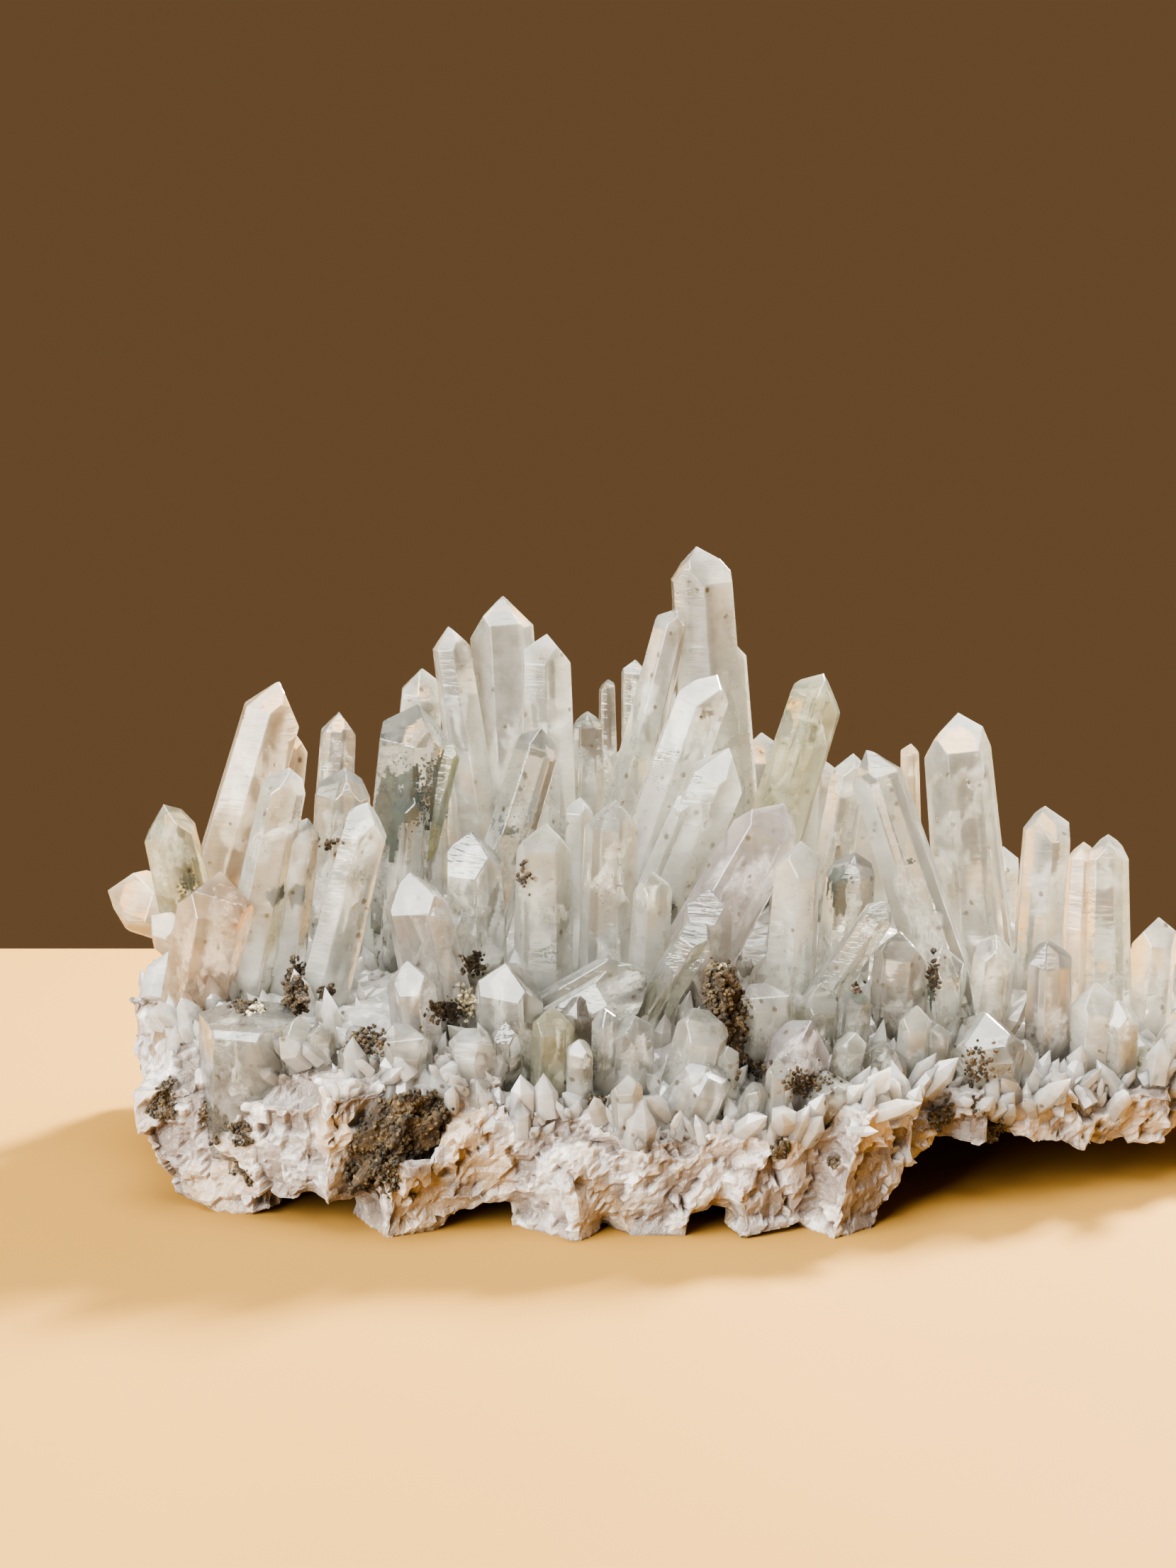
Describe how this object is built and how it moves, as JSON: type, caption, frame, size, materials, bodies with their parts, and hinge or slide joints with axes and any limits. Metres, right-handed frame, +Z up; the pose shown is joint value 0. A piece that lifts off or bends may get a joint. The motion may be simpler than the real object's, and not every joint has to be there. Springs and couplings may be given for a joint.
{
  "type": "chlorite quartz",
  "caption": "Cluster of pointed quartz crystals on a thin, lumpy milky quartz plate with earthy chlorite lodged in it, a mineral specimen that stands on its broken base.",
  "frame": {"origin": "middle of the plan box, on the surface that the plate rests on", "axes": "+X to the right along the plate, +Y to the back, +Z up"},
  "size_m": [0.129, 0.0724, 0.0652],
  "materials": {
    "crystal": "frosty translucent quartz with clear tips and flat faces",
    "milky_quartz": "milky white broken quartz with pinkish and yellow-brown stains",
    "chlorite": "dull olive-brown granular earth"
  },
  "bodies": {
    "root": {"crystals": "crystal", "matrix": "milky_quartz", "chlorite_front": "chlorite", "chlorite_lodged": "chlorite", "chlorite_left": "chlorite"}
  },
  "joints": []
}
